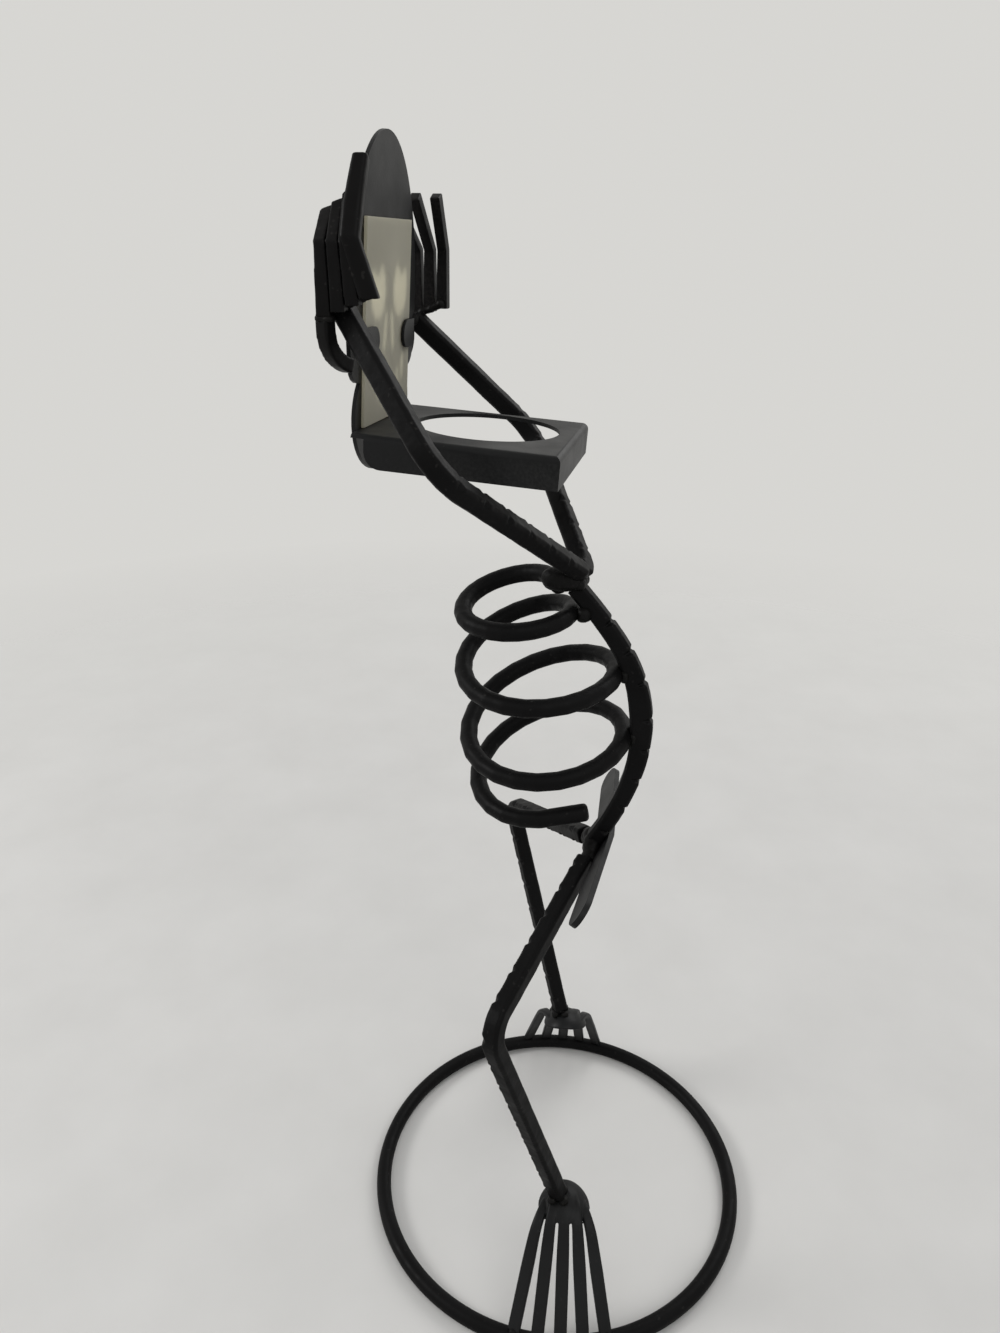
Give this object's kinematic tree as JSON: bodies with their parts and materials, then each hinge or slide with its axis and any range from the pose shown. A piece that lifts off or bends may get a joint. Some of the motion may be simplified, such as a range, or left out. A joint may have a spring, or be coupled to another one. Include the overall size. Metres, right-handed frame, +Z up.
{
  "type": "skeleton candle holder",
  "caption": "Standing wrought iron skeleton of bent square bar with a coiled rib cage; its sheet metal head has a candle tray behind the face and a lift-out glow panel.",
  "frame": {"origin": "centre of the base ring at table height", "axes": "+Z up, -Y the way the feet and face point, +X the figure's left hand side"},
  "size_m": [0.152, 0.152, 0.3954],
  "materials": {
    "bar_iron": "satin black paint over hammered bar",
    "hand_iron": "satin black paint, smoother",
    "sheet_iron": "satin black paint on flat sheet",
    "weld_iron": "painted weld bead, lumpy",
    "glow_panel": "translucent cream, matte"
  },
  "bodies": {
    "figure": {"base_ring": "bar_iron", "left_foot": "sheet_iron", "right_foot": "sheet_iron", "left_leg": "bar_iron", "right_leg": "bar_iron", "pelvis_plate": "sheet_iron", "spine": "bar_iron", "rib_coil": "bar_iron", "arms": "bar_iron", "candle_tray": "sheet_iron", "face_plate": "sheet_iron", "left_finger_1": "hand_iron", "left_finger_2": "hand_iron", "left_finger_3": "hand_iron", "left_finger_4": "hand_iron", "left_thumb": "hand_iron", "right_finger_1": "hand_iron", "right_finger_2": "hand_iron", "right_finger_3": "hand_iron", "right_finger_4": "hand_iron", "right_thumb": "hand_iron", "shoulder_weld": "weld_iron", "rib_welds": "weld_iron", "hip_welds": "weld_iron", "ankle_welds": "weld_iron", "toe_welds": "weld_iron", "hand_welds": "weld_iron", "tray_welds": "weld_iron"},
    "panel": {"glow_panel": "glow_panel"}
  },
  "joints": [
    {"name": "panel_lift", "type": "slide", "parent": "figure", "child": "panel", "axis": [0.009, 0.0604, 0.9981], "range_m": [0, 0.06]}
  ]
}
